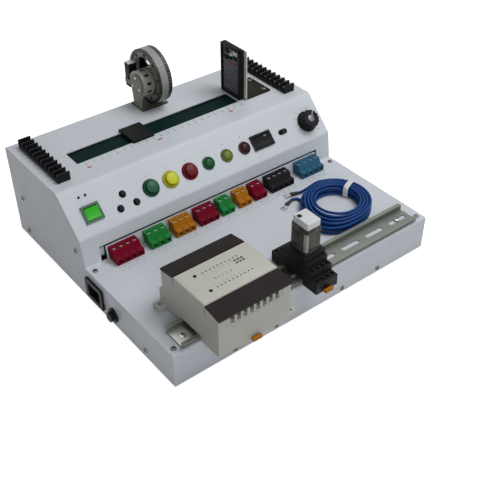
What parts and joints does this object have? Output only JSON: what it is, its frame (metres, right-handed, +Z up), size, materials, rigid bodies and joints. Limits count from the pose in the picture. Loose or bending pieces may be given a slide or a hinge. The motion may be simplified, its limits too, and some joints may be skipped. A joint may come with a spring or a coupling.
{
  "type": "plc trainer",
  "caption": "Bench trainer: sloped sheet-metal console with a controller and relay on a rail, belt carriage, spoked wheel, switches, lamps and terminal blocks.",
  "frame": {"origin": "middle of the footprint of the bounds without the leads, at the table under the feet", "axes": "+Z up, -Y towards the operator at the low deck, +X along the console to the operator's right"},
  "size_m": [0.3874, 0.402, 0.2048],
  "materials": {
    "console_paint": "smooth satin powder coat",
    "cream_paint": "satin paint",
    "circuit_board": "solder mask",
    "black_plastic": "fine moulded grain",
    "brown_black_plastic": "fine moulded grain",
    "beige_plastic": "fine moulded grain",
    "green_plastic": "moulded gloss",
    "lit_green_plastic": "translucent gloss",
    "yellow_plastic": "moulded gloss",
    "red_plastic": "moulded gloss",
    "orange_plastic": "moulded gloss",
    "teal_plastic": "moulded gloss",
    "green_lens": "clear gloss",
    "yellow_lens": "clear gloss",
    "red_lens": "clear gloss",
    "clear_plastic": "clear gloss",
    "belt_rubber": "matt woven belt",
    "turned_steel": "turned",
    "zinc_steel": "dull zinc plate",
    "sheet_aluminium": "mill finish",
    "lug_metal": "tin plate",
    "blue_insulation": "soft gloss insulation"
  },
  "bodies": {
    "console": {"base_tray": "console_paint", "left_side_panel": "console_paint", "right_side_panel": "console_paint", "hood": "console_paint", "deck_plate": "console_paint", "control_board": "circuit_board", "terminal_board": "circuit_board", "upright_circuit_board": "black_plastic", "green_lamp": "green_lens", "yellow_lamp": "yellow_lens", "red_lamp": "red_lens", "power_switch_frame": "green_plastic", "selector_switch_frame": "black_plastic", "belt": "belt_rubber", "belt_frame": "sheet_aluminium", "belt_motor": "turned_steel", "barrier_strip_left": "black_plastic", "barrier_strip_right": "black_plastic", "red_terminal_block_left": "red_plastic", "green_terminal_block_left": "green_plastic", "orange_terminal_block_left": "orange_plastic", "red_terminal_block_middle": "red_plastic", "green_terminal_block_right": "green_plastic", "orange_terminal_block_right": "orange_plastic", "red_terminal_block_right": "red_plastic", "black_terminal_block": "black_plastic", "blue_terminal_block": "teal_plastic", "din_rail": "zinc_steel", "controller_body": "beige_plastic", "relay_socket": "black_plastic", "wheel_bracket": "black_plastic", "wheel_motor": "turned_steel", "wheel_sensor": "black_plastic", "upright_plate": "cream_paint", "power_inlet": "black_plastic", "fuse_holder": "black_plastic", "supply_unit": "sheet_aluminium", "lead_coil": "blue_insulation", "lead_lug_lower": "lug_metal", "lead_lug_upper": "lug_metal"},
    "power_rocker": {"power_rocker": "lit_green_plastic"},
    "selector_rocker": {"selector_rocker": "black_plastic"},
    "green_button": {"green_button": "green_plastic"},
    "yellow_button": {"yellow_button": "yellow_plastic"},
    "red_button": {"red_button": "red_plastic"},
    "small_button_1": {"small_button_1": "black_plastic"},
    "small_button_2": {"small_button_2": "black_plastic"},
    "small_button_3": {"small_button_3": "black_plastic"},
    "slide_switch_lever": {"slide_switch_lever": "black_plastic"},
    "speed_knob": {"speed_knob": "black_plastic"},
    "idler_roller": {"idler_roller": "turned_steel"},
    "drive_roller": {"drive_roller": "turned_steel"},
    "carriage": {"carriage": "black_plastic"},
    "controller_front_cover": {"controller_front_cover": "brown_black_plastic"},
    "controller_back_cover": {"controller_back_cover": "brown_black_plastic"},
    "controller_latch": {"controller_latch": "orange_plastic"},
    "relay_socket_latch": {"relay_socket_latch": "orange_plastic"},
    "relay": {"relay": "clear_plastic"},
    "wheel": {"wheel": "black_plastic"},
    "fuse_cap": {"fuse_cap": "black_plastic"}
  },
  "joints": [
    {"name": "power_rocker_tilt", "type": "hinge", "parent": "console", "child": "power_rocker", "pos_m": [-0.15735, 0.03361, 0.10205], "axis": [1, 0, 0], "range_deg": [-12, 0]},
    {"name": "selector_rocker_tilt", "type": "hinge", "parent": "console", "child": "selector_rocker", "pos_m": [0.09215, 0.03361, 0.10205], "axis": [1, 0, 0], "range_deg": [-12, 0]},
    {"name": "green_button_press", "type": "slide", "parent": "console", "child": "green_button", "axis": [0, 0.6986, -0.7155], "range_m": [0, 0.003], "stiffness_N_per_m": 300, "springref_m": -0.001},
    {"name": "yellow_button_press", "type": "slide", "parent": "console", "child": "yellow_button", "axis": [0, 0.6986, -0.7155], "range_m": [0, 0.003], "stiffness_N_per_m": 300, "springref_m": -0.001},
    {"name": "red_button_press", "type": "slide", "parent": "console", "child": "red_button", "axis": [0, 0.6986, -0.7155], "range_m": [0, 0.003], "stiffness_N_per_m": 300, "springref_m": -0.001},
    {"name": "small_button_1_press", "type": "slide", "parent": "console", "child": "small_button_1", "axis": [0, 0.6986, -0.7155], "range_m": [0, 0.001], "stiffness_N_per_m": 400, "springref_m": -0.0005},
    {"name": "small_button_2_press", "type": "slide", "parent": "console", "child": "small_button_2", "axis": [0, 0.6986, -0.7155], "range_m": [0, 0.001], "stiffness_N_per_m": 400, "springref_m": -0.0005},
    {"name": "small_button_3_press", "type": "slide", "parent": "console", "child": "small_button_3", "axis": [0, 0.6986, -0.7155], "range_m": [0, 0.001], "stiffness_N_per_m": 400, "springref_m": -0.0005},
    {"name": "slide_switch_travel", "type": "slide", "parent": "console", "child": "slide_switch_lever", "axis": [1, 0, 0], "range_m": [0, 0.003]},
    {"name": "speed_knob_turn", "type": "hinge", "parent": "console", "child": "speed_knob", "pos_m": [0.16885, 0.03361, 0.10205], "axis": [0, -0.6986, 0.7155], "range_deg": [-140, 140]},
    {"name": "carriage_travel", "type": "slide", "parent": "console", "child": "carriage", "axis": [1, 0, 0], "range_m": [-0.077, 0.134]},
    {"name": "drive_roller_spin", "type": "hinge", "parent": "console", "child": "drive_roller", "pos_m": [0.11665, 0.11205, 0.1145], "axis": [0, 1, 0], "range_deg": [-500, 866]},
    {"name": "idler_roller_spin", "type": "hinge", "parent": "console", "child": "idler_roller", "pos_m": [-0.14835, 0.11205, 0.1145], "axis": [0, 1, 0], "range_deg": [-500, 866]},
    {"name": "controller_front_cover_hinge", "type": "hinge", "parent": "console", "child": "controller_front_cover", "pos_m": [-0.10385, -0.17435, 0.106], "axis": [-1, 0, 0], "range_deg": [0, 110]},
    {"name": "controller_back_cover_hinge", "type": "hinge", "parent": "console", "child": "controller_back_cover", "pos_m": [-0.10385, -0.11775, 0.106], "axis": [1, 0, 0], "range_deg": [0, 110]},
    {"name": "controller_latch_pull", "type": "slide", "parent": "console", "child": "controller_latch", "axis": [0, -1, 0], "range_m": [0, 0.004], "stiffness_N_per_m": 400, "springref_m": -0.002},
    {"name": "relay_socket_latch_pull", "type": "slide", "parent": "console", "child": "relay_socket_latch", "axis": [0, -1, 0], "range_m": [0, 0.004], "stiffness_N_per_m": 400, "springref_m": -0.002},
    {"name": "relay_unplug", "type": "slide", "parent": "console", "child": "relay", "axis": [0, 0, 1], "range_m": [0, 0.02]},
    {"name": "wheel_spin", "type": "hinge", "parent": "console", "child": "wheel", "pos_m": [0.00365, 0.16505, 0.1667], "axis": [1, 0, 0], "continuous": true},
    {"name": "fuse_cap_turn", "type": "hinge", "parent": "console", "child": "fuse_cap", "pos_m": [-0.18635, -0.04605, 0.019], "axis": [1, 0, 0], "range_deg": [0, 60]}
  ],
  "couplings": [
    {"joint": "drive_roller_spin", "follows": "carriage_travel", "rad_per_m": 112.36},
    {"joint": "idler_roller_spin", "follows": "carriage_travel", "rad_per_m": 112.36}
  ]
}
